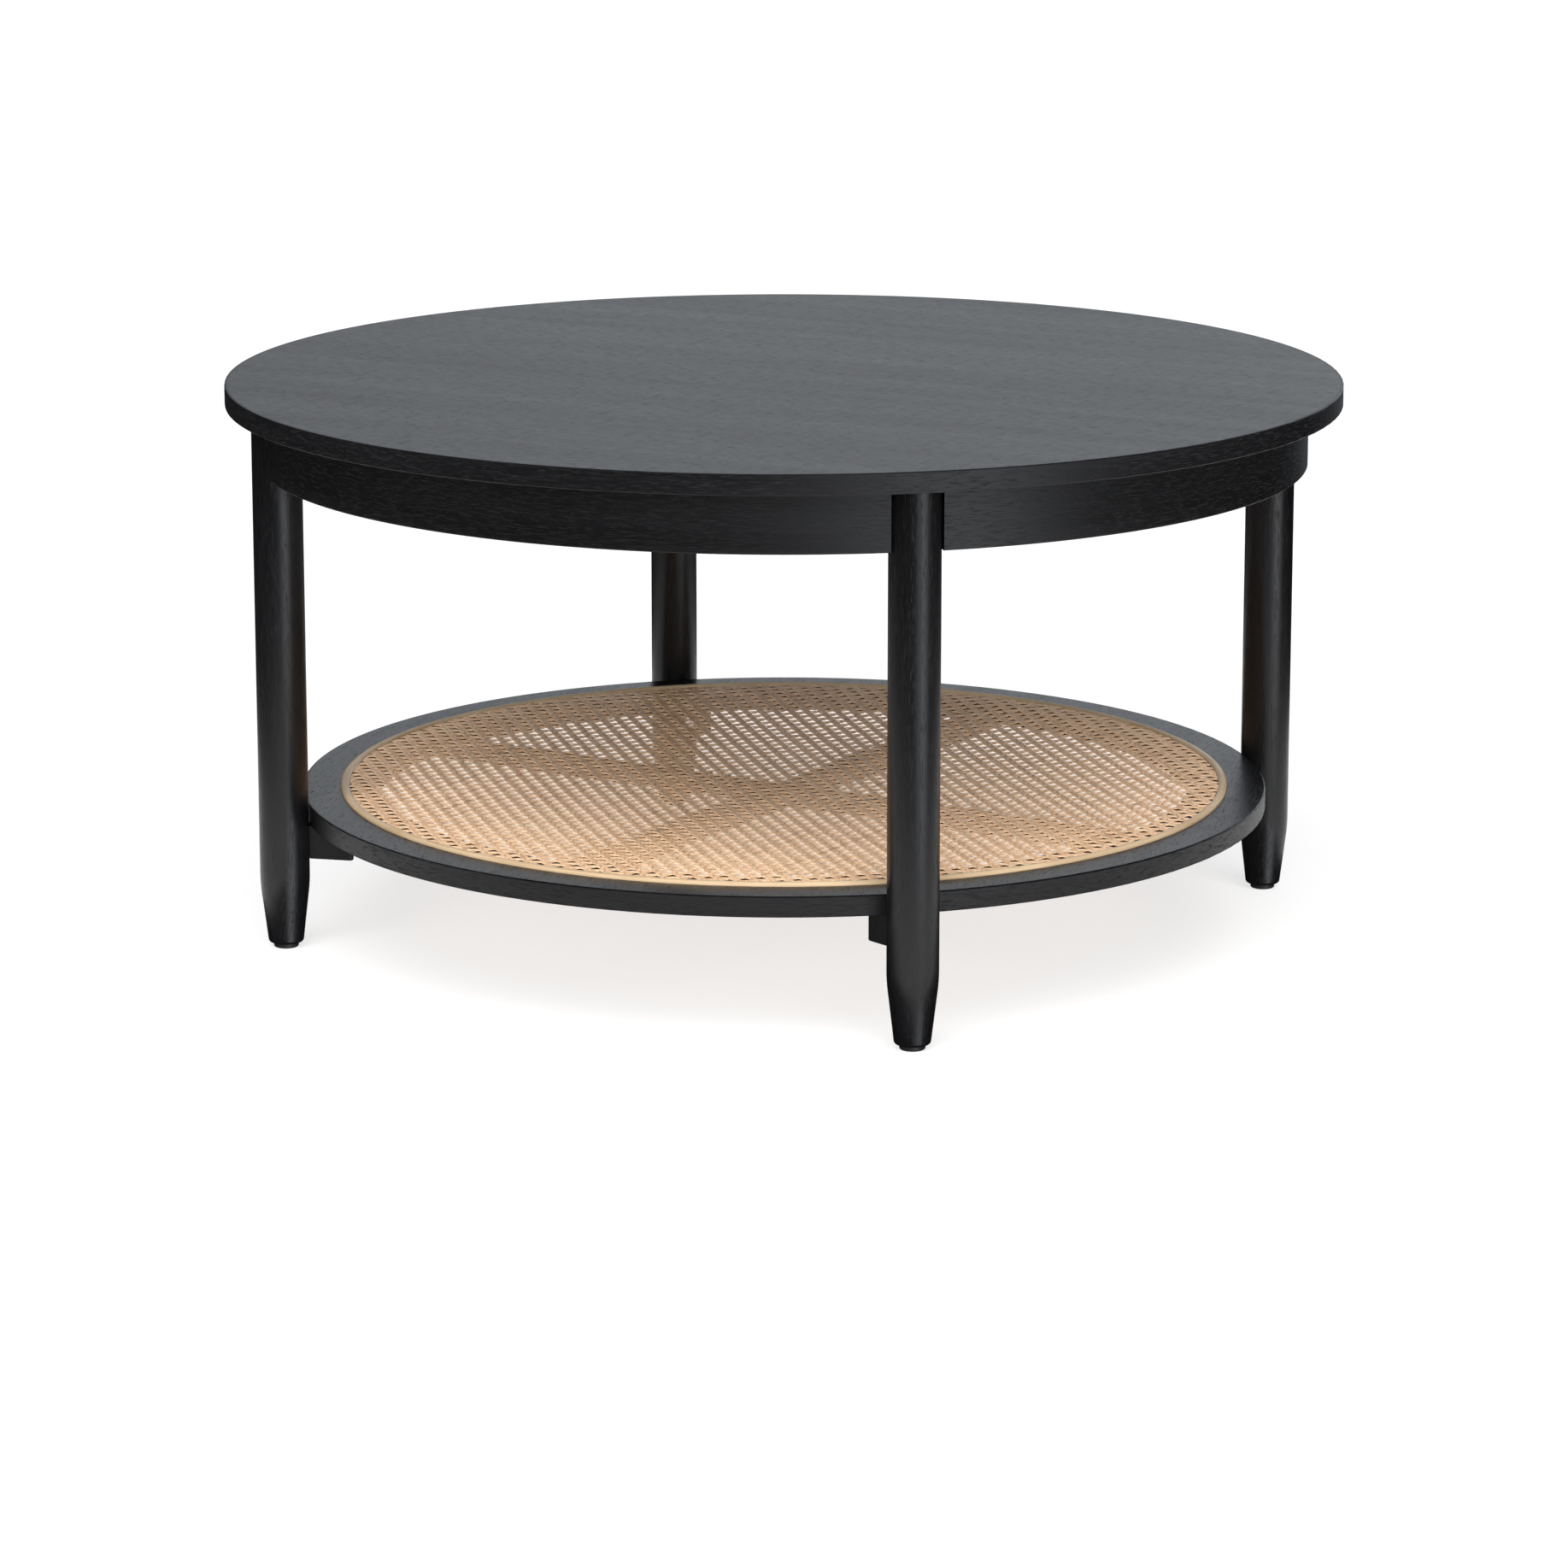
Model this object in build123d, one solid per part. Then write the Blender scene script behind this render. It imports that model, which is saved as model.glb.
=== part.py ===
"""Round coffee table: a veneered top on a curved apron, four round legs and a lower shelf of cane webbing.

Millimetres, Z up. The table stands on Z = 0 with its middle on the Z axis. Its legs stand on the
diagonals, and the two slats of the shelf lie along X and Y. Each sub-part goes to parts/NODE.step.
Parts at a leg are drawn with that leg on the +X axis, then turned about Z to the leg's angle.
"""

import os
from math import cos, pi, sin, sqrt

from build123d import *

# Overall
TABLE_HEIGHT = 450.0
TOP_DIAMETER = 900.0
LEG_ANGLES = (45.0, 135.0, 225.0, 315.0)
APRON_ANGLES = (0.0, 90.0, 180.0, 270.0)
LEG_NAMES = ("ne", "nw", "sw", "se")
APRON_NAMES = ("east", "north", "west", "south")

# Top: a core board, a veneer on each face and a solid band round the edge
TOP_THICKNESS = 16.5
VENEER = 0.6
EDGE_BAND = 2.0
TOP_ARRIS = 0.8

# Legs, turned with a short taper at the foot
LEG_RADIUS = 20.0
LEG_CENTRE = 413.8
FOOT_RADIUS = 14.0
FOOT_ROUNDING = 3.0
TAPER_HEIGHT = 54.0
TAPER_BLEND = 150.0
LEG_GAP = 0.2

# Glides under the legs, each held by a nail
GLIDE_RADIUS = 10.0
GLIDE_HEIGHT = 4.0
GLIDE_ROUNDING = 1.5
NAIL_RADIUS = 1.2
NAIL_HEAD_RADIUS = 2.75
NAIL_HEAD_HEIGHT = 1.0
NAIL_LENGTH = 22.0
NAIL_RECESS = 0.8

# Apron: four curved segments, cut flat where a leg passes between them
APRON_RADIUS = 422.5
APRON_THICKNESS = 18.0
APRON_HEIGHT = 49.0
APRON_ARRIS = 1.0
APRON_GAP = 0.3

# Corner blocks behind the legs, under the top
CORNER_FACE = 365.0
CORNER_HALF_WIDTH = 65.0
CORNER_HEIGHT = 40.0
CORNER_CHAMFER = 2.0
LEG_BOLT_DROPS = (12.0, 30.0)
TOP_SCREW_OFFSET = 35.0
TOP_SCREW_PLACE = 385.0
APRON_SCREW_OFFSET = 52.0

# Shelf: a veneered ring with a solid band, two crossing slats, cane webbing and its reed spline
SHELF_TOP = 116.5
SHELF_THICKNESS = 16.5
SHELF_RADIUS = 393.5
SHELF_BAND = 1.6
SHELF_ARRIS = 1.0
RING_INNER = 331.0
RING_CHAMFER = 3.0
GROOVE_OUTER = 362.6
GROOVE_INNER = 354.3
GROOVE_DEPTH = 5.5
CANE_THICKNESS = 2.2
CANE_SAG = 7.2
CANE_STEPS = (90.0, 170.0, 240.0, 300.0)
SPLINE_OUTER = 362.4
SPLINE_INNER = 355.3
SPLINE_SIDE = 0.6
SPLINE_RISE = 2.5
SPLINE_FACETS = 8
SPLINE_CLEARANCE = 0.5

# Slats, let into notches in the underside of the ring
SLAT_WIDTH = 25.0
SLAT_THICKNESS = 12.5
SLAT_REACH = 351.0
SLAT_DROP = 7.5
SLAT_SCREW_PLACE = 341.0

# Shelf blocks: wedges, narrow at the leg, which hang the ring on the legs
BLOCK_HEIGHT = 27.0
BLOCK_NEAR = 19.0
BLOCK_FAR = 53.0
BLOCK_NEAR_HALF = 7.0
BLOCK_FAR_HALF = 23.5
BLOCK_CORNER = 3.0
BLOCK_EDGE = 1.5
BLOCK_SCREW_PLACE = 42.0
BLOCK_SCREW_OFFSET = 11.5

# Bolts, washers and threaded inserts
BOLT_RADIUS = 3.0
BOLT_TIP = 0.6
HEAD_RADIUS = 5.25
HEAD_HEIGHT = 3.3
HEAD_ROUNDING = 1.6
SOCKET_RADIUS = 2.3
SOCKET_DEPTH = 1.9
WASHER_RADIUS = 6.25
WASHER_THICKNESS = 1.6
LEG_BOLT_LENGTH = 40.0
SHELF_BOLT_LENGTH = 45.0
INSERT_RADIUS = 5.0
INSERT_LENGTH = 13.0
INSERT_SINK = 0.9
INSERT_CHAMFER = 0.8

# Wood screws: radius, head radius and length
TOP_SCREW = (2.0, 4.0, 49.0)
APRON_SCREW = (2.0, 4.0, 45.0)
SHELF_SCREW = (1.75, 3.5, 35.0)
SLAT_SCREW = (1.75, 3.5, 18.0)
RECESS_WIDTH = 1.0
RECESS_LENGTH = 4.0
RECESS_DEPTH = 1.6

# Heights and places worked out from the sizes above
TOP_UNDERSIDE = TABLE_HEIGHT - TOP_THICKNESS
TOP_RADIUS = TOP_DIAMETER / 2
CORE_RADIUS = TOP_RADIUS - EDGE_BAND
APRON_BOTTOM = TOP_UNDERSIDE - APRON_HEIGHT
APRON_INNER = APRON_RADIUS - APRON_THICKNESS
CORNER_BOTTOM = TOP_UNDERSIDE - CORNER_HEIGHT
LEG_BOLT_HEIGHTS = [TOP_UNDERSIDE - drop for drop in LEG_BOLT_DROPS]
SHELF_BOTTOM = SHELF_TOP - SHELF_THICKNESS
SHELF_CORE = SHELF_RADIUS - SHELF_BAND
GROOVE_BOTTOM = SHELF_TOP - GROOVE_DEPTH
CANE_TOP = SHELF_TOP + CANE_THICKNESS
SLAT_TOP = SHELF_TOP - SLAT_DROP
SLAT_BOTTOM = SLAT_TOP - SLAT_THICKNESS
BLOCK_BOTTOM = SHELF_BOTTOM - BLOCK_HEIGHT
BLOCK_FACE = LEG_CENTRE - BLOCK_FAR
SHELF_BOLT_HEIGHT = SHELF_BOTTOM - BLOCK_HEIGHT / 2
INSERT_START = LEG_CENTRE - LEG_RADIUS + INSERT_SINK
RISING = (Align.CENTER, Align.CENTER, Align.MIN)


def upright(radius, low, high):
    """A cylinder about the Z axis between two heights."""
    return Pos(0, 0, low) * Cylinder(radius, high - low, align=RISING)


def hoop(outer, inner, low, high):
    """A ring about the Z axis between two heights."""
    return upright(outer, low, high) - upright(inner, low, high)


def turned(points):
    """A solid turned about the Z axis from an outline of (radius, height) points."""
    outline = Plane.XZ * make_face(Polyline(*points, close=True))
    return revolve(outline, axis=Axis.Z)


def circles(shape, radius, height):
    """The circular edges about the Z axis with this radius and height."""
    rounds = shape.edges().filter_by(GeomType.CIRCLE)
    level = rounds.filter_by(lambda edge: abs(edge.arc_center.Z - height) < 0.01)
    return level.filter_by(lambda edge: abs(edge.radius - radius) < 0.01)


def outward(shape, place, across, height):
    """Lays a shape drawn along +Z along +X instead, starting at a place in the leg's own frame."""
    return Pos(place, across, height) * Rot(0, 90, 0) * shape


def group(solids):
    """Separate solids of one kind, kept as one node."""
    return Compound(children=list(solids))


def at_legs(solids):
    """The same solids at all four legs."""
    return group(Rot(0, 0, angle) * solid for angle in LEG_ANGLES for solid in solids)


# Fasteners, drawn along +Z


def bolt(length):
    """A button-head bolt whose shank starts at Z = 0, with the head below it."""
    shank = Cylinder(BOLT_RADIUS, length, align=RISING)
    shank = chamfer(shank.edges().filter_by(GeomType.CIRCLE).sort_by(Axis.Z)[-1], BOLT_TIP)
    head = Pos(0, 0, -HEAD_HEIGHT) * Cylinder(HEAD_RADIUS, HEAD_HEIGHT, align=RISING)
    head = fillet(head.edges().filter_by(GeomType.CIRCLE).sort_by(Axis.Z)[0], HEAD_ROUNDING)
    socket = Pos(0, 0, -HEAD_HEIGHT) * extrude(RegularPolygon(SOCKET_RADIUS, 6), SOCKET_DEPTH)
    return head + shank - socket


def washer():
    """A flat washer that lies below Z = 0."""
    blank = Cylinder(WASHER_RADIUS, WASHER_THICKNESS, align=RISING)
    return Pos(0, 0, -WASHER_THICKNESS) * (blank - Cylinder(BOLT_RADIUS, WASHER_THICKNESS, align=RISING))


def insert():
    """A threaded insert with a bore for the bolt."""
    body = Cylinder(INSERT_RADIUS, INSERT_LENGTH, align=RISING)
    body = chamfer(body.edges().filter_by(GeomType.CIRCLE).sort_by(Axis.Z)[-1], INSERT_CHAMFER)
    return body - Cylinder(BOLT_RADIUS, INSERT_LENGTH, align=RISING)


def screw_blank(size):
    """The outside of a countersunk wood screw, which is also the hole that it makes."""
    radius, head, length = size
    tip = length - 2 * radius
    return turned([(0, 0), (head, 0), (radius, head - radius), (radius, tip), (0, length)])


def screw(size):
    """A countersunk wood screw with its head flush at Z = 0 and a cross recess."""
    recess = Box(RECESS_LENGTH, RECESS_WIDTH, RECESS_DEPTH, align=RISING)
    recess += Box(RECESS_WIDTH, RECESS_LENGTH, RECESS_DEPTH, align=RISING)
    return screw_blank(size) - recess


# Where the fasteners go, in the frame of a leg on the +X axis


def leg_bolts(shape, back=0.0):
    """One shape at both bolts that hold a leg to its corner block."""
    return [outward(shape, CORNER_FACE - back, 0, height) for height in LEG_BOLT_HEIGHTS]


def shelf_bolt(shape, back=0.0):
    """One shape at the bolt that holds a shelf block to its leg."""
    return [outward(shape, BLOCK_FACE - back, 0, SHELF_BOLT_HEIGHT)]


def top_screws(shape):
    """One shape at both screws from a corner block up into the top."""
    sides = (-TOP_SCREW_OFFSET, TOP_SCREW_OFFSET)
    return [Pos(TOP_SCREW_PLACE, side, CORNER_BOTTOM) * shape for side in sides]


def apron_screws(shape):
    """One shape at the four screws from a corner block out into the apron."""
    sides = (-APRON_SCREW_OFFSET, APRON_SCREW_OFFSET)
    return [outward(shape, CORNER_FACE, side, height) for side in sides for height in LEG_BOLT_HEIGHTS]


def shelf_screws(shape):
    """One shape at both screws from a shelf block up into the ring."""
    place = LEG_CENTRE - BLOCK_SCREW_PLACE
    sides = (-BLOCK_SCREW_OFFSET, BLOCK_SCREW_OFFSET)
    return [Pos(place, side, BLOCK_BOTTOM) * shape for side in sides]


def insert_places(shape):
    """One shape at the three threaded inserts of a leg."""
    heights = [*LEG_BOLT_HEIGHTS, SHELF_BOLT_HEIGHT]
    return [outward(shape, INSERT_START, 0, height) for height in heights]


def slat_screws(shape):
    """One shape at the screw through each end of both slats, in the frame of the table."""
    spot = Pos(SLAT_SCREW_PLACE, 0, SLAT_BOTTOM) * shape
    return group(Rot(0, 0, angle) * spot for angle in APRON_ANGLES)


# Top


def top_core():
    """The core board, with a hole for each screw from below."""
    core = upright(CORE_RADIUS, TOP_UNDERSIDE + VENEER, TABLE_HEIGHT - VENEER)
    return core - at_legs(top_screws(screw_blank(TOP_SCREW)))


def top_back_veneer():
    """The veneer under the core, with the same screw holes."""
    sheet = upright(CORE_RADIUS, TOP_UNDERSIDE, TOP_UNDERSIDE + VENEER)
    return sheet - at_legs(top_screws(screw_blank(TOP_SCREW)))


def top_face_veneer():
    """The veneer on the top face."""
    return upright(CORE_RADIUS, TABLE_HEIGHT - VENEER, TABLE_HEIGHT)


def top_edge_band():
    """The solid band round the top, with its outer corners eased."""
    band = hoop(TOP_RADIUS, CORE_RADIUS, TOP_UNDERSIDE, TABLE_HEIGHT)
    corners = circles(band, TOP_RADIUS, TOP_UNDERSIDE) + circles(band, TOP_RADIUS, TABLE_HEIGHT)
    return fillet(corners, TOP_ARRIS)


# Apron and corner blocks


def apron_segment():
    """The apron segment between the legs at -45 and 45 degrees."""
    point = (LEG_RADIUS + APRON_GAP) * sqrt(2)
    reach = TOP_RADIUS
    wedge = make_face(Polyline((point, 0), (point + reach, reach), (point + reach, -reach), close=True))
    sector = Pos(0, 0, APRON_BOTTOM) * extrude(wedge, APRON_HEIGHT)
    segment = hoop(APRON_RADIUS, APRON_INNER, APRON_BOTTOM, TOP_UNDERSIDE) & sector
    lower = circles(segment, APRON_RADIUS, APRON_BOTTOM) + circles(segment, APRON_INNER, APRON_BOTTOM)
    segment = fillet(lower, APRON_ARRIS)
    return segment - at_legs(apron_screws(screw_blank(APRON_SCREW)))


def corner_block():
    """The block behind a leg that ties the leg, two apron segments and the top together."""
    depth = APRON_INNER - CORNER_FACE
    blank = Pos(CORNER_FACE, 0, CORNER_BOTTOM) * Box(
        depth, 2 * CORNER_HALF_WIDTH, CORNER_HEIGHT, align=(Align.MIN, Align.CENTER, Align.MIN)
    )
    block = blank & upright(APRON_INNER, CORNER_BOTTOM, TOP_UNDERSIDE)
    block = chamfer(block.edges().group_by(Axis.Z)[0], CORNER_CHAMFER)
    block -= Pos(LEG_CENTRE, 0, 0) * upright(LEG_RADIUS + LEG_GAP, CORNER_BOTTOM, TOP_UNDERSIDE)
    holes = leg_bolts(Cylinder(BOLT_RADIUS, LEG_BOLT_LENGTH, align=RISING))
    holes += top_screws(screw_blank(TOP_SCREW)) + apron_screws(screw_blank(APRON_SCREW))
    return block - group(holes)


# Legs and glides


def leg():
    """A turned leg with pockets for its inserts and a pilot hole for the glide's nail."""
    outline = [
        (0, GLIDE_HEIGHT),
        (FOOT_RADIUS, GLIDE_HEIGHT),
        (LEG_RADIUS, TAPER_HEIGHT),
        (LEG_RADIUS, TOP_UNDERSIDE),
        (0, TOP_UNDERSIDE),
    ]
    post = turned(outline)
    post = fillet(circles(post, LEG_RADIUS, TAPER_HEIGHT), TAPER_BLEND)
    post = fillet(circles(post, FOOT_RADIUS, GLIDE_HEIGHT), FOOT_ROUNDING)
    post -= upright(NAIL_RADIUS, 0, NAIL_LENGTH)
    post = Pos(LEG_CENTRE, 0, 0) * post
    pocket = Cylinder(INSERT_RADIUS, INSERT_SINK + INSERT_LENGTH, align=RISING)
    return post - group(insert_places(Pos(0, 0, -INSERT_SINK) * pocket))


def glide():
    """A plastic glide under a leg, with a hole and a recess for its nail."""
    disc = upright(GLIDE_RADIUS, 0, GLIDE_HEIGHT)
    disc = fillet(circles(disc, GLIDE_RADIUS, 0), GLIDE_ROUNDING)
    disc -= upright(NAIL_RADIUS, 0, GLIDE_HEIGHT)
    disc -= upright(NAIL_HEAD_RADIUS, 0, NAIL_RECESS + NAIL_HEAD_HEIGHT)
    return Pos(LEG_CENTRE, 0, 0) * disc


def glide_nail():
    """The nail that holds a glide, its head sunk above the floor."""
    nail = upright(NAIL_HEAD_RADIUS, NAIL_RECESS, NAIL_RECESS + NAIL_HEAD_HEIGHT)
    nail += upright(NAIL_RADIUS, NAIL_RECESS, NAIL_LENGTH)
    return Pos(LEG_CENTRE, 0, 0) * nail


# Shelf


def shelf_ring():
    """The core of the shelf's ring, with a groove for the spline and a notch for each slat's end."""
    low = SHELF_BOTTOM + VENEER
    high = SHELF_TOP - VENEER
    outline = [
        (RING_INNER + RING_CHAMFER, low),
        (SHELF_CORE, low),
        (SHELF_CORE, high),
        (GROOVE_OUTER, high),
        (GROOVE_OUTER, GROOVE_BOTTOM),
        (GROOVE_INNER, GROOVE_BOTTOM),
        (GROOVE_INNER, high),
        (RING_INNER, high),
        (RING_INNER, low + RING_CHAMFER),
    ]
    ring = turned(outline) - slat_bar() - Rot(0, 0, 90) * slat_bar()
    ring -= at_legs(shelf_screws(screw_blank(SHELF_SCREW)))
    return ring - slat_screws(screw_blank(SLAT_SCREW))


def shelf_face_veneer():
    """The veneer on top of the ring, on both sides of the groove."""
    under_cane = hoop(GROOVE_INNER, RING_INNER, SHELF_TOP - VENEER, SHELF_TOP)
    in_sight = hoop(SHELF_CORE, GROOVE_OUTER, SHELF_TOP - VENEER, SHELF_TOP)
    return group([under_cane, in_sight])


def shelf_back_veneer():
    """The veneer under the ring, cut out for the slats and with a hole for each screw."""
    sheet = hoop(SHELF_CORE, RING_INNER + RING_CHAMFER, SHELF_BOTTOM, SHELF_BOTTOM + VENEER)
    sheet = sheet - slat_bar() - Rot(0, 0, 90) * slat_bar()
    return sheet - at_legs(shelf_screws(screw_blank(SHELF_SCREW)))


def shelf_edge_band():
    """The solid band round the shelf, with its outer corners eased."""
    band = hoop(SHELF_RADIUS, SHELF_CORE, SHELF_BOTTOM, SHELF_TOP)
    corners = circles(band, SHELF_RADIUS, SHELF_BOTTOM) + circles(band, SHELF_RADIUS, SHELF_TOP)
    return fillet(corners, SHELF_ARRIS)


def slat_bar():
    """A whole bar along X, with both ends rounded to fit its notches in the ring."""
    blank = Box(2 * SLAT_REACH, SLAT_WIDTH, SLAT_THICKNESS, align=RISING)
    return Pos(0, 0, SLAT_BOTTOM) * blank & upright(SLAT_REACH, SLAT_BOTTOM, SLAT_TOP)


def slat(lap_low, lap_high):
    """A slat along X, notched between two heights where the other slat crosses it."""
    lap = Pos(0, 0, lap_low) * Box(SLAT_WIDTH, SLAT_WIDTH, lap_high - lap_low, align=RISING)
    return slat_bar() - lap - slat_screws(screw_blank(SLAT_SCREW))


def cane_dip(radius):
    """How far the cane's underside lies below the ring's top at a radius inside the ring."""
    return CANE_SAG * (1 - (radius / RING_INNER) ** 2)


def cane_webbing():
    """The envelope of the cane webbing: dished towards the slats, flat on the ring, edge turned down."""
    middle = [(0, SHELF_TOP - cane_dip(CANE_STEPS[0]))]
    middle += [(radius, SHELF_TOP - cane_dip(radius)) for radius in CANE_STEPS]
    middle.append((RING_INNER, SHELF_TOP))
    edge = [(GROOVE_INNER, SHELF_TOP), (GROOVE_INNER, GROOVE_BOTTOM), (SPLINE_INNER, GROOVE_BOTTOM)]
    upper = [(radius, height + CANE_THICKNESS) for radius, height in reversed(middle)]
    return turned([*middle, *edge, (SPLINE_INNER, CANE_TOP), *upper])


def cane_spline():
    """The reed spline that is glued into the groove on the cane's edge, with a rounded crown."""
    side = SHELF_TOP + SPLINE_SIDE
    middle = (SPLINE_INNER + SPLINE_OUTER) / 2
    half = (SPLINE_OUTER - SPLINE_INNER) / 2
    bottom = GROOVE_BOTTOM + SPLINE_CLEARANCE
    outline = [(SPLINE_INNER, bottom), (SPLINE_OUTER, bottom)]
    for step in range(SPLINE_FACETS + 1):
        turn = pi * step / SPLINE_FACETS
        outline.append((middle + half * cos(turn), side + SPLINE_RISE * sin(turn)))
    return turned(outline)


def shelf_block():
    """The block under the ring that butts against a leg and carries the ring."""
    outline = Polyline(
        (LEG_CENTRE - BLOCK_NEAR, -BLOCK_NEAR_HALF),
        (LEG_CENTRE - BLOCK_NEAR, BLOCK_NEAR_HALF),
        (BLOCK_FACE, BLOCK_FAR_HALF),
        (BLOCK_FACE, -BLOCK_FAR_HALF),
        close=True,
    )
    block = Pos(0, 0, BLOCK_BOTTOM) * extrude(make_face(outline), BLOCK_HEIGHT)
    far_corners = block.edges().filter_by(Axis.Z).group_by(Axis.X)[0]
    block = fillet(far_corners, BLOCK_CORNER)
    block = fillet(block.faces().sort_by(Axis.Z)[0].edges(), BLOCK_EDGE)
    block -= Pos(LEG_CENTRE, 0, 0) * upright(LEG_RADIUS + LEG_GAP, BLOCK_BOTTOM, SHELF_BOTTOM)
    holes = shelf_bolt(Cylinder(BOLT_RADIUS, SHELF_BOLT_LENGTH, align=RISING))
    holes += shelf_screws(screw_blank(SHELF_SCREW))
    return block - group(holes)


def nodes():
    """Every node of the table, by name."""
    lap = (SLAT_BOTTOM + SLAT_TOP) / 2
    made = {
        "top_core": top_core(),
        "top_face_veneer": top_face_veneer(),
        "top_back_veneer": top_back_veneer(),
        "top_edge_band": top_edge_band(),
        "shelf_ring": shelf_ring(),
        "shelf_face_veneer": shelf_face_veneer(),
        "shelf_back_veneer": shelf_back_veneer(),
        "shelf_edge_band": shelf_edge_band(),
        "slat_x": slat(lap, SLAT_TOP),
        "slat_y": Rot(0, 0, 90) * slat(SLAT_BOTTOM, lap),
        "slat_screws": slat_screws(screw(SLAT_SCREW)),
        "cane_webbing": cane_webbing(),
        "cane_spline": cane_spline(),
        "leg_bolts": at_legs(leg_bolts(bolt(LEG_BOLT_LENGTH), WASHER_THICKNESS)),
        "leg_bolt_washers": at_legs(leg_bolts(washer())),
        "leg_inserts": at_legs(insert_places(insert())),
        "shelf_bolts": at_legs(shelf_bolt(bolt(SHELF_BOLT_LENGTH), WASHER_THICKNESS)),
        "shelf_bolt_washers": at_legs(shelf_bolt(washer())),
        "shelf_screws": at_legs(shelf_screws(screw(SHELF_SCREW))),
        "top_screws": at_legs(top_screws(screw(TOP_SCREW))),
        "apron_screws": at_legs(apron_screws(screw(APRON_SCREW))),
        "glide_nails": at_legs([glide_nail()]),
    }
    segment = apron_segment()
    for name, angle in zip(APRON_NAMES, APRON_ANGLES):
        made[f"apron_{name}"] = Rot(0, 0, angle) * segment
    at_one_leg = {
        "leg": leg(),
        "glide": glide(),
        "corner_block": corner_block(),
        "shelf_block": shelf_block(),
    }
    for kind, solid in at_one_leg.items():
        for name, angle in zip(LEG_NAMES, LEG_ANGLES):
            made[f"{kind}_{name}"] = Rot(0, 0, angle) * solid
    return made


os.makedirs("parts", exist_ok=True)
for node, shape in nodes().items():
    export_step(shape, f"parts/{node}.step")
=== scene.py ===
"""The looks of the round coffee table with a cane shelf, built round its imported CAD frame. Metres."""

from math import cos, pi, radians, sin, sqrt

import bpy
import numpy as np
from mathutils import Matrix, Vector


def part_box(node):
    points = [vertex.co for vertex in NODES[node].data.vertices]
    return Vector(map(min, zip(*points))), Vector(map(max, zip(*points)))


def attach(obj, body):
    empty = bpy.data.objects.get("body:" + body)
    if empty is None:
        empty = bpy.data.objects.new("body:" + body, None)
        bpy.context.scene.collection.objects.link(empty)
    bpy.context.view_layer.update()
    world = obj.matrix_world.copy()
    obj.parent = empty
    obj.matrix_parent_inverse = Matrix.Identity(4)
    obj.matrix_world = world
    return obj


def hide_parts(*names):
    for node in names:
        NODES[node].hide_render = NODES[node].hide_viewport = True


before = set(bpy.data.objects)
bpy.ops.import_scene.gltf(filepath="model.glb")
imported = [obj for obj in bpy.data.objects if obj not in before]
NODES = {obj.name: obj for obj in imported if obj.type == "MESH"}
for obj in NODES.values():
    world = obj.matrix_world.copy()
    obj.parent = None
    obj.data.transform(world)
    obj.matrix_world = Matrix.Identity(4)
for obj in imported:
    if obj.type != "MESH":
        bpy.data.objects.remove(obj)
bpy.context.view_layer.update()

# Camera: how it looks at the table
CAMERA_TURN = radians(31.41)
CAMERA_RISE = radians(13.21)
CAMERA_DISTANCE = 4.788
CAMERA_AIM = Vector((0.0, 0.0, 0.1116))
CAMERA_LENS = 133.99
CAMERA_SENSOR = 36.0
CAMERA_FAR = 200.0

# Cane webbing: standard half-inch mesh, woven from pairs of strands with one diagonal each way.
# A wave is how far a strand rises and falls. RING_WAVE limits it where the webbing rests on the ring,
# CANE_SAG is the dip in the middle of the shelf, and the dip lies within RING_OPENING, a radius.
CANE_PITCH = 0.0127
CANE_TURN = radians(46.9)
PAIR_HALF = 0.00138
PAIR_WIDTH = 0.0027
PAIR_THICKNESS = 0.0009
PAIR_WAVE = 0.00042
DIAGONAL_WIDTH = 0.0024
DIAGONAL_THICKNESS = 0.0009
DIAGONAL_WAVE = 0.0009
RING_WAVE = 0.00064
CANE_SAG = 0.0072
RING_OPENING = 0.331

# The ends of the strands: where they stop short, how far they drop and how short an outer one may be
WEBBING_MARGIN = 0.0003
END_DROP = 0.0003
END_GAP = 0.0006
OUTER_MARGIN = 0.004

# How unevenly the strands lie, and where the random numbers start
STRAND_DRIFT = 0.00015
STRAND_WOBBLE = 0.0001
CANE_SEED = 7

# A strand's section in parts of its width and thickness, and the angle from which its edges are sharp
SHARP_EDGE = radians(35)
SECTION = ((-0.5, -0.1), (-0.38, 0.4), (0.0, 0.5), (0.38, 0.4), (0.5, -0.1), (0.0, -0.5))

# The room that gloss mirrors: (turn, rise, inner and outer spread, colour) of each soft patch
ROOM_GLOWS = (
    (radians(180), radians(18), radians(5), radians(32), (0.27, 0.285, 0.30)),
    (radians(177), radians(9), radians(3), radians(18), (0.52, 0.55, 0.585)),
    (radians(160), radians(4), radians(3), radians(16), (1.30, 1.38, 1.49)),
    (radians(35), radians(-18), radians(5), radians(28), (2.25, 2.32, 2.42)),
    (radians(0), radians(20), radians(4), radians(28), (0.42, 0.43, 0.45)),
    (radians(90), radians(20), radians(4), radians(28), (0.22, 0.225, 0.235)),
    (radians(-90), radians(20), radians(4), radians(28), (0.20, 0.205, 0.215)),
    (radians(180), radians(88), radians(10), radians(40), (0.50, 0.51, 0.53)),
)

# Floor and backdrop: the floor's colour, the light from it and the radii of its parts, then the wall
FLOOR_WHITE = 0.30
FLOOR_GLOW = 0.70
FLOOR_HOLE = 0.001
FLOOR_UNDER = 0.5
FLOOR_NEAR = 1.0
FLOOR_FAR = 60.0
FLOOR_SIDES = 96
BACKDROP_RADIUS = 58.0
BACKDROP_HEIGHT = 14.0

# Directions of the grain, measured about Z
TOP_GRAIN = radians(5.4)
SHELF_GRAIN = radians(107.0)

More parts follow.
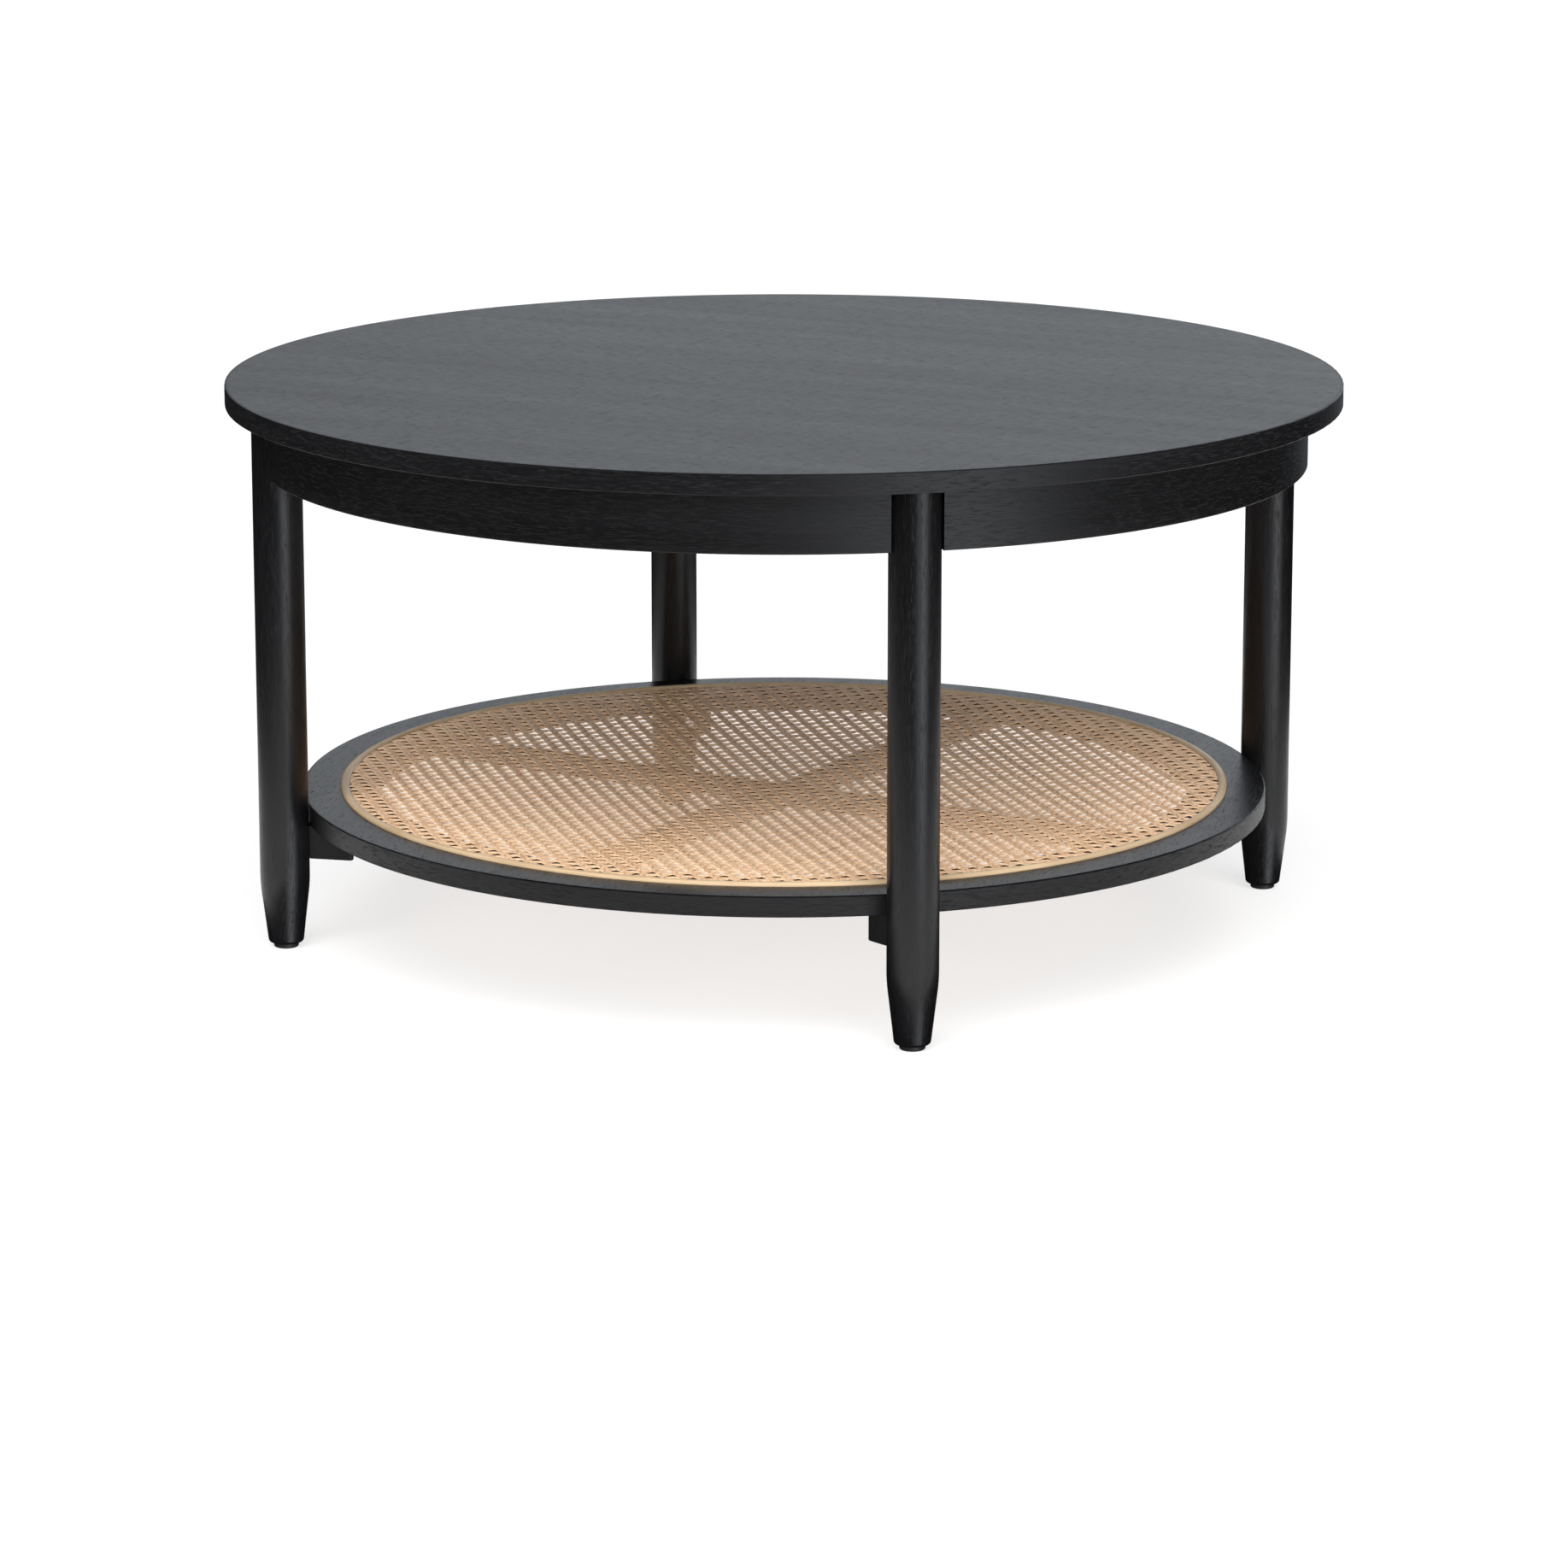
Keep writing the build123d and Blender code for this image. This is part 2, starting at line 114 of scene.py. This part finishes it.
# Wood: how fine each layer of grain is along and across it, its relief, and the stains of frame and faces
GRAIN_BANDS = (2.2, 34.0, 34.0)
GRAIN_FIBRE = (26.0, 900.0, 900.0)
GRAIN_PORES = (95.0, 1500.0, 1500.0)
GRAIN_RELIEF = 0.00018
FRAME_STAIN = ((0.0020, 0.0020, 0.0023), (0.0055, 0.0055, 0.0063))
FACE_STAIN = ((0.0012, 0.0012, 0.0014), (0.0085, 0.0086, 0.0095))


# Small helpers


def node(tree, kind, inputs=None, **settings):
    """Adds a shader node. An input is a value or an output socket to link."""
    made = tree.nodes.new("ShaderNode" + kind)
    for key, value in settings.items():
        setattr(made, key, value)
    for key, value in (inputs or {}).items():
        if isinstance(value, bpy.types.NodeSocket):
            tree.links.new(value, made.inputs[key])
        else:
            made.inputs[key].default_value = value
    return made


def math(tree, operation, *values):
    """A math node's output."""
    return node(tree, "Math", dict(enumerate(values)), operation=operation).outputs[0]


def ramp(tree, factor, stops):
    """A colour ramp from (position, grey or colour) stops."""
    made = node(tree, "ValToRGB", {"Fac": factor})
    elements = made.color_ramp.elements
    while len(elements) < len(stops):
        elements.new(0.5)
    for element, (position, colour) in zip(elements, stops):
        element.position = position
        element.color = (*colour, 1.0) if isinstance(colour, tuple) else (colour, colour, colour, 1.0)
    return made.outputs["Color"]


def mix(tree, factor, first, second):
    """A colour mix's output."""
    made = node(tree, "Mix", data_type="RGBA")
    for key, value in ((0, factor), (6, first), (7, second)):
        if isinstance(value, bpy.types.NodeSocket):
            tree.links.new(value, made.inputs[key])
        else:
            made.inputs[key].default_value = (*value, 1.0) if isinstance(value, tuple) else value
    return made.outputs[2]


def material(name):
    """An empty node material with a Principled shader, as (material, tree, shader)."""
    made = bpy.data.materials.new(name)
    made.use_nodes = True
    tree = made.node_tree
    shader = tree.nodes["Principled BSDF"]
    return made, tree, shader


def noise(tree, vector, scale, detail=3.0, roughness=0.5):
    """A noise texture's grey output."""
    inputs = {"Vector": vector, "Scale": scale, "Detail": detail, "Roughness": roughness}
    return node(tree, "TexNoise", inputs).outputs["Fac"]


def stretch(tree, vector, scale):
    """A vector scaled on each axis."""
    return node(tree, "VectorMath", {0: vector, 1: scale}, operation="MULTIPLY").outputs[0]


# Wood


def straight_grain(tree, turn):
    """Coordinates in metres whose X runs along a grain that lies flat, turned about Z."""
    place = node(tree, "TexCoord").outputs["Object"]
    inputs = {"Vector": place, "Rotation": (0.0, 0.0, -turn)}
    return node(tree, "Mapping", inputs).outputs[0]


def upright_grain(tree, shift):
    """Coordinates whose X runs up the piece."""
    place = node(tree, "TexCoord").outputs["Object"]
    parts = node(tree, "SeparateXYZ", {0: place}).outputs
    along = math(tree, "ADD", parts[2], shift)
    return node(tree, "CombineXYZ", {0: along, 1: parts[0], 2: parts[1]}).outputs[0]


def round_grain(tree, turn, radius):
    """Coordinates whose X runs round the Z axis, with the seam opposite the turn."""
    place = straight_grain(tree, turn)
    parts = node(tree, "SeparateXYZ", {0: place}).outputs
    angle = math(tree, "ARCTAN2", parts[1], parts[0])
    away = node(tree, "VectorMath", {0: place}, operation="LENGTH").outputs["Value"]
    along = math(tree, "MULTIPLY", angle, radius)
    return node(tree, "CombineXYZ", {0: along, 1: parts[2], 2: away}).outputs[0]


def black_wood(name, grain, dark, light, gloss, pore=0.5, bump=0.5):
    """Black-stained open-grain wood. grain makes the coordinates; gloss is the mean roughness."""
    made, tree, shader = material(name)
    along = grain(tree)
    bands = noise(tree, stretch(tree, along, GRAIN_BANDS), 1.0, 4.0, 0.55)
    fibre = noise(tree, stretch(tree, along, GRAIN_FIBRE), 1.0, 3.0, 0.6)
    pores = noise(tree, stretch(tree, along, GRAIN_PORES), 1.0, 1.0, 0.4)
    patch = noise(tree, along, 9.0, 2.0)
    holes = ramp(tree, pores, ((0.60, 0.0), (0.70, 1.0)))
    tone = math(tree, "ADD", math(tree, "MULTIPLY", bands, 0.55), math(tree, "MULTIPLY", fibre, 0.45))
    body = ramp(tree, tone, ((0.34, dark), (0.66, light)))
    fleck = tuple(2.4 * value for value in light)
    patchy = math(tree, "MULTIPLY", ramp(tree, patch, ((0.35, 0.15), (0.68, 1.0))), pore)
    strength = math(tree, "MULTIPLY", holes, patchy)
    colour = mix(tree, strength, body, fleck)
    tree.links.new(colour, shader.inputs["Base Color"])
    rough = math(tree, "ADD", gloss - 0.09, math(tree, "MULTIPLY", tone, 0.18))
    tree.links.new(math(tree, "ADD", rough, math(tree, "MULTIPLY", holes, 0.20)), shader.inputs["Roughness"])
    height = math(tree, "SUBTRACT", math(tree, "MULTIPLY", fibre, 0.35), holes)
    lumps = node(tree, "Bump", {"Height": height, "Strength": bump, "Distance": GRAIN_RELIEF})
    tree.links.new(lumps.outputs[0], shader.inputs["Normal"])
    return made


def paint(name_start, made):
    """Gives a material to every CAD node whose name starts with this."""
    for name, obj in NODES.items():
        if name.startswith(name_start):
            obj.material_slots[0].material = made


def flat_wood(name, turn, stain, *finish):
    """Wood whose grain lies flat, turned about Z."""
    return black_wood(name, lambda tree: straight_grain(tree, turn), *stain, *finish)


def bent_wood(name, turn, radius, *finish):
    """Wood of the frame whose grain runs round the table."""
    return black_wood(name, lambda tree: round_grain(tree, turn, radius), *FRAME_STAIN, *finish)


def paint_wood():
    """Every wooden CAD node. A finish is mean roughness, strength of the pores and relief."""
    top = flat_wood("top_veneer", TOP_GRAIN, FACE_STAIN, 0.36, 0.5, 0.4)
    paint("top_face_veneer", top)
    paint("top_back_veneer", top)
    rim = bent_wood("top_band", CAMERA_TURN - pi / 2, 0.45, 0.42, 0.9, 0.8)
    paint("top_edge_band", rim)
    paint("shelf_edge_band", rim)
    shelf = flat_wood("shelf_veneer", SHELF_GRAIN, FACE_STAIN, 0.32, 0.4, 0.4)
    paint("shelf_face_veneer", shelf)
    paint("shelf_back_veneer", shelf)
    core = flat_wood("shelf_core", 0.0, FRAME_STAIN, 0.6, 0.0, 0.2)
    paint("shelf_ring", core)
    paint("top_core", core)
    for index, name in enumerate(("east", "north", "west", "south")):
        apron = f"apron_{name}"
        paint(apron, bent_wood(apron, index * pi / 2, 0.42, 0.42, 0.25, 0.5))
    for index, name in enumerate(("ne", "nw", "sw", "se")):
        leg = f"leg_{name}"
        upright = black_wood(leg, lambda tree: upright_grain(tree, 0.7 * index), *FRAME_STAIN, 0.31, 0.3, 0.4)
        paint(leg, upright)
    paint("slat_x", flat_wood("slat_x", 0.0, FRAME_STAIN, 0.5))
    paint("slat_y", flat_wood("slat_y", pi / 2, FRAME_STAIN, 0.5))
    block = flat_wood("blocks", radians(45), FRAME_STAIN, 0.52)
    paint("corner_block", block)
    paint("shelf_block", block)


# Cane webbing


def cane_material(name, light, deep, gloss):
    """Cane skin: fine fibres along each strand, a tone of its own and a few darker knots."""
    made, tree, shader = material(name)
    marks = node(tree, "Attribute", attribute_name="strand").outputs["Vector"]
    parts = node(tree, "SeparateXYZ", {0: marks}).outputs
    lengths = [math(tree, "MULTIPLY", part, scale) for part, scale in zip(parts, (40.0, 7.0, 90.0))]
    fibre_place = node(tree, "CombineXYZ", dict(enumerate(lengths))).outputs[0]
    fibre = noise(tree, fibre_place, 1.0, 3.0, 0.6)
    along, tone_of_strand = math(tree, "MULTIPLY", parts[0], 11.0), math(tree, "MULTIPLY", parts[2], 300.0)
    knot_place = node(tree, "CombineXYZ", {0: along, 1: tone_of_strand, 2: 0.0}).outputs[0]
    knots = noise(tree, knot_place, 1.0, 0.0)
    tone = math(tree, "ADD", math(tree, "MULTIPLY", parts[2], 0.6), math(tree, "MULTIPLY", fibre, 0.5))
    body = ramp(tree, tone, ((0.22, deep), (0.62, light)))
    knot = tuple(0.55 * value for value in deep)
    colour = mix(tree, ramp(tree, knots, ((0.72, 0.0), (0.78, 0.6))), body, knot)
    tree.links.new(colour, shader.inputs["Base Color"])
    rough = math(tree, "ADD", gloss - 0.1, math(tree, "MULTIPLY", fibre, 0.2))
    tree.links.new(rough, shader.inputs["Roughness"])
    lumps = node(tree, "Bump", {"Height": fibre, "Strength": 0.35, "Distance": 0.00012})
    tree.links.new(lumps.outputs[0], shader.inputs["Normal"])
    return made


def sweep(name, strands, width, thickness):
    """One mesh of many strands. Each strand is (points, side direction, distances along, tone)."""
    points, faces, marks = [], [], []
    count = len(SECTION)
    ring = np.arange(count)
    start = 0
    for path, side, along, tone in strands:
        tangent = np.gradient(path, axis=0)
        tangent /= np.linalg.norm(tangent, axis=1)[:, None]
        up = np.cross(tangent, side)
        for x, y in SECTION:
            points.append(path + side * (x * width) + up * (y * thickness))
            marks.append(np.column_stack([along, np.full(len(path), x), np.full(len(path), tone)]))
        rows = np.arange(len(path) - 1)
        for here in ring:
            ahead = (here + 1) % count
            first, second = start + here * len(path) + rows, start + ahead * len(path) + rows
            faces.append(np.column_stack([first, first + 1, second + 1, second]))
        start += count * len(path)
    mesh = bpy.data.meshes.new(name)
    mesh.from_pydata(np.concatenate(points), [], np.concatenate(faces).tolist())
    strand_marks = mesh.attributes.new("strand", "FLOAT_VECTOR", "POINT")
    strand_marks.data.foreach_set("vector", np.concatenate(marks).ravel())
    mesh.polygons.foreach_set("use_smooth", np.ones(len(mesh.polygons), bool))
    mesh.set_sharp_from_angle(angle=SHARP_EDGE)
    mesh.validate()
    piece = bpy.data.objects.new(name, mesh)
    bpy.context.scene.collection.objects.link(piece)
    return piece


def dip(path, ring):
    """How far the webbing sags below the ring at each point of a path. ring is the opening's radius."""
    away = np.hypot(path[:, 0], path[:, 1]) / ring
    return CANE_SAG * np.clip(1.0 - away * away, 0.0, 1.0)


def strand(turn, offset, stops, heights, reach, ring, middle, rng):
    """One strand: where it runs, which way its side faces, the distance along it and its tone."""
    end = sqrt(reach * reach - offset * offset)
    inside = np.abs(stops) < end - END_GAP
    along = np.concatenate([[-end], stops[inside], [end]])
    height = np.concatenate([[-END_DROP], heights[inside], [-END_DROP]])
    ahead = np.array([cos(turn), sin(turn), 0.0])
    side = np.array([-sin(turn), cos(turn), 0.0])
    drift = rng.normal(0.0, STRAND_DRIFT) + rng.normal(0.0, STRAND_WOBBLE, len(along))
    path = along[:, None] * ahead + (offset + drift)[:, None] * side
    resting = np.hypot(path[:, 0], path[:, 1]) > ring - CANE_PITCH / 2
    height = np.where(resting, np.clip(height, -RING_WAVE, RING_WAVE), height)
    path[:, 2] = middle + height - dip(path, ring)
    return path, side, along + rng.uniform(0.0, 5.0), rng.uniform(0.0, 1.0)


def pair_strands(turn, over, reach, ring, middle, rng):
    """The strands that run in pairs one way. over is 1 or -1: which way the first crossing goes."""
    most = int(reach / CANE_PITCH) + 1
    index = np.arange(-most, most + 1)
    made = []
    for number in index:
        for half in (0, 1):
            offset = number * CANE_PITCH + (2 * half - 1) * PAIR_HALF
            if abs(offset) > reach - OUTER_MARGIN:
                continue
            first = over * (1 if half == 0 else -1) * PAIR_WAVE
            stops = (index[:, None] * CANE_PITCH + np.array([-PAIR_HALF, PAIR_HALF, CANE_PITCH / 2])).ravel()
            heights = np.tile([first, -first, 0.0], len(index))
            made.append(strand(turn, offset, stops, heights, reach, ring, middle, rng))
    return made


def diagonal_strands(turn, over, reach, ring, middle, rng):
    """The single strands that run diagonally one way, over one set of pairs and under the other."""
    step = CANE_PITCH / sqrt(2)
    most = int(reach / step) + 1
    made = []
    for number in range(-most, most + 1):
        offset = (number + 0.5) * step
        if abs(offset) > reach - OUTER_MARGIN:
            continue
        crossing = np.arange(-most, most + 1)
        stops = (crossing + 0.5) * step
        heights = over * DIAGONAL_WAVE * np.where((crossing + number) % 2 == 0, 1.0, -1.0)
        between = stops + step / 2
        order = np.column_stack([stops, between]).ravel()
        waves = np.column_stack([heights, np.zeros(len(between))]).ravel()
        made.append(strand(turn, offset, order, waves, reach, ring, middle, rng))
    return made


def make_cane():
    """The woven shelf in four pieces, which stand for the CAD webbing."""
    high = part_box("cane_webbing")[1]
    middle = (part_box("shelf_face_veneer")[1].z + high.z) / 2
    reach = high.x - WEBBING_MARGIN
    span = (reach, RING_OPENING, middle, np.random.default_rng(CANE_SEED))
    skin = cane_material("cane_skin", (0.80, 0.54, 0.335), (0.61, 0.365, 0.20), 0.42)
    slope = pi / 4
    paired, single = (PAIR_WIDTH, PAIR_THICKNESS), (DIAGONAL_WIDTH, DIAGONAL_THICKNESS)
    made = [
        ("cane_weft", pair_strands(CANE_TURN, 1, *span), paired),
        ("cane_warp", pair_strands(CANE_TURN + pi / 2, -1, *span), paired),
        ("cane_diagonal_up", diagonal_strands(CANE_TURN + slope, 1, *span), single),
        ("cane_diagonal_down", diagonal_strands(CANE_TURN - slope, 1, *span), single),
    ]
    for name, strands, size in made:
        piece = sweep(name, strands, *size)
        piece.data.materials.append(skin)
        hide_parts("cane_webbing")
        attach(piece, "root")


# Small parts


def reed_material():
    """The pale reed of the spline, with fine fibres round the shelf."""
    made, tree, shader = material("reed")
    along = round_grain(tree, CAMERA_TURN - pi / 2, 0.36)
    fibre = noise(tree, stretch(tree, along, (18.0, 900.0, 900.0)), 1.0, 3.0, 0.6)
    patch = noise(tree, stretch(tree, along, (14.0, 60.0, 60.0)), 1.0, 2.0)
    tone = math(tree, "ADD", math(tree, "MULTIPLY", fibre, 0.5), math(tree, "MULTIPLY", patch, 0.5))
    colour = ramp(tree, tone, ((0.36, (0.45, 0.315, 0.185)), (0.62, (0.60, 0.45, 0.285))))
    tree.links.new(colour, shader.inputs["Base Color"])
    shader.inputs["Roughness"].default_value = 0.42
    lumps = node(tree, "Bump", {"Height": fibre, "Strength": 0.3, "Distance": 0.0001})
    tree.links.new(lumps.outputs[0], shader.inputs["Normal"])
    return made


def metal(name, colour, rough):
    """Plated steel with a faint brushed variation."""
    made, tree, shader = material(name)
    place = node(tree, "TexCoord").outputs["Object"]
    spots = noise(tree, place, 700.0, 3.0)
    shader.inputs["Metallic"].default_value = 1.0
    shade = tuple(0.75 * value for value in colour)
    tree.links.new(ramp(tree, spots, ((0.3, shade), (0.7, colour))), shader.inputs["Base Color"])
    tree.links.new(math(tree, "ADD", rough, math(tree, "MULTIPLY", spots, 0.15)), shader.inputs["Roughness"])
    return made


def plastic(name, colour):
    """Moulded plastic with a fine sparked texture."""
    made, tree, shader = material(name)
    place = node(tree, "TexCoord").outputs["Object"]
    grains = noise(tree, place, 2500.0, 2.0)
    shine = tuple(1.3 * value for value in colour)
    tree.links.new(ramp(tree, grains, ((0.3, colour), (0.7, shine))), shader.inputs["Base Color"])
    shader.inputs["Roughness"].default_value = 0.5
    lumps = node(tree, "Bump", {"Height": grains, "Strength": 0.4, "Distance": 0.00005})
    tree.links.new(lumps.outputs[0], shader.inputs["Normal"])
    return made


def paint_small_parts():
    """Spline, fasteners and glides."""
    paint("cane_spline", reed_material())
    paint("leg_bolt", metal("zinc", (0.62, 0.62, 0.64), 0.28))
    paint("shelf_bolt", metal("zinc_small", (0.62, 0.62, 0.64), 0.28))
    paint("leg_inserts", metal("insert", (0.66, 0.61, 0.50), 0.35))
    oxide = metal("oxide", (0.08, 0.08, 0.085), 0.38)
    for name in ("shelf_screws", "slat_screws", "top_screws", "apron_screws"):
        paint(name, oxide)
    paint("glide_", plastic("glide", (0.012, 0.012, 0.012)))
    paint("glide_nails", metal("nail", (0.55, 0.55, 0.56), 0.35))


# Stage


def polar(turn, rise, distance):
    """A point at an angle round from the camera's side and above the floor."""
    flat = distance * cos(rise)
    spin = CAMERA_TURN + turn
    return Vector((flat * sin(spin), -flat * cos(spin), distance * sin(rise)))


def soft_sun(name, turn, rise, spread, strength):
    """Broad soft light from one side, even over the whole floor and too diffuse to mirror."""
    data = bpy.data.lights.new(name, "SUN")
    data.energy = strength
    data.angle = spread
    lamp = bpy.data.objects.new(name, data)
    lamp.location = polar(turn, rise, 4.0)
    lamp.rotation_euler = (-lamp.location).to_track_quat("-Z", "Y").to_euler()
    lamp.visible_glossy = False
    bpy.context.scene.collection.objects.link(lamp)


def stage_ring(name, start, end, skin):
    """A ring of stage round the table between two (radius, height) circles."""
    turns = [2 * pi * step / FLOOR_SIDES for step in range(FLOOR_SIDES)]
    points = []
    for radius, height in (start, end):
        points += [(radius * cos(turn), radius * sin(turn), height) for turn in turns]
    faces = []
    for here in range(FLOOR_SIDES):
        ahead = (here + 1) % FLOOR_SIDES
        faces.append((here, FLOOR_SIDES + here, FLOOR_SIDES + ahead, ahead))
    mesh = bpy.data.meshes.new(name)
    mesh.from_pydata(points, [], faces)
    mesh.materials.append(skin)
    ring = bpy.data.objects.new(name, mesh)
    bpy.context.scene.collection.objects.link(ring)
    return ring


def make_floor():
    """A pale floor, faintly lit from below. Gloss shows only the part just round the table."""
    skin, _, shader = material("floor")
    shader.inputs["Base Color"].default_value = (*[FLOOR_WHITE] * 3, 1.0)
    shader.inputs["Roughness"].default_value = 0.9
    shader.inputs["Specular IOR Level"].default_value = 0.0
    shader.inputs["Emission Color"].default_value = (1.0, 1.0, 1.0, 1.0)
    shader.inputs["Emission Strength"].default_value = FLOOR_GLOW
    stage_ring("floor_under", (FLOOR_HOLE, 0.0), (FLOOR_UNDER, 0.0), skin).visible_glossy = False
    stage_ring("floor_near", (FLOOR_UNDER, 0.0), (FLOOR_NEAR, 0.0), skin)
    stage_ring("floor_far", (FLOOR_NEAR, 0.0), (FLOOR_FAR, 0.0), skin).visible_glossy = False


def make_backdrop():
    """A pale wall far behind the floor, which lights nothing and shows in no gloss."""
    skin, _, shader = material("backdrop")
    shader.inputs["Base Color"].default_value = (0.0, 0.0, 0.0, 1.0)
    shader.inputs["Specular IOR Level"].default_value = 0.0
    shader.inputs["Emission Color"].default_value = (1.0, 1.0, 1.0, 1.0)
    shader.inputs["Emission Strength"].default_value = 1.0
    wall = stage_ring("backdrop", (BACKDROP_RADIUS, 0.0), (BACKDROP_RADIUS, BACKDROP_HEIGHT), skin)
    wall.visible_diffuse = False
    wall.visible_glossy = False
    wall.visible_shadow = False


def glow(tree, direction, turn, rise, inner, outer, colour):
    """A soft-edged patch of light in the room, round one direction."""
    both = {0: direction, 1: polar(turn, rise, 1.0)}
    towards = node(tree, "VectorMath", both, operation="DOT_PRODUCT").outputs["Value"]
    limits = {"Value": towards, "From Min": cos(outer), "From Max": cos(inner)}
    level = node(tree, "MapRange", limits, interpolation_type="SMOOTHSTEP").outputs[0]
    return node(tree, "VectorMath", {0: colour, "Scale": level}, operation="SCALE").outputs[0]


def make_world():
    """A dim studio with the soft patches of ROOM_GLOWS, which gloss mirrors and the lamps do not."""
    world = bpy.data.worlds.new("studio")
    world.use_nodes = True
    world.cycles.sampling_method = "NONE"
    tree = world.node_tree
    direction = node(tree, "TexCoord").outputs["Generated"]
    total = node(tree, "CombineXYZ", {0: 0.01, 1: 0.01, 2: 0.011}).outputs[0]
    for patch in ROOM_GLOWS:
        both = {0: total, 1: glow(tree, direction, *patch)}
        total = node(tree, "VectorMath", both, operation="ADD").outputs[0]
    tree.links.new(total, tree.nodes["Background"].inputs["Color"])
    bpy.context.scene.world = world


def make_lights():
    """A broad key light from the front, with a little from above and a little from behind."""
    soft_sun("overhead", 0.0, radians(85), radians(70), 0.5)
    soft_sun("front", radians(-3), radians(40), radians(76), 5.45)
    soft_sun("back", radians(180), radians(25), radians(90), 0.4)


def make_camera():
    """The camera at the reference's viewing angle."""
    data = bpy.data.cameras.new("camera")
    data.lens = CAMERA_LENS
    data.sensor_width = CAMERA_SENSOR
    data.clip_end = CAMERA_FAR
    camera = bpy.data.objects.new("camera", data)
    camera.location = CAMERA_AIM + polar(0.0, CAMERA_RISE, CAMERA_DISTANCE)
    camera.rotation_euler = (CAMERA_AIM - camera.location).to_track_quat("-Z", "Y").to_euler()
    bpy.context.scene.collection.objects.link(camera)
    bpy.context.scene.camera = camera
    bpy.context.scene.view_settings.view_transform = "Standard"


paint_wood()
paint_small_parts()
make_cane()
make_floor()
make_backdrop()
make_world()
make_lights()
make_camera()
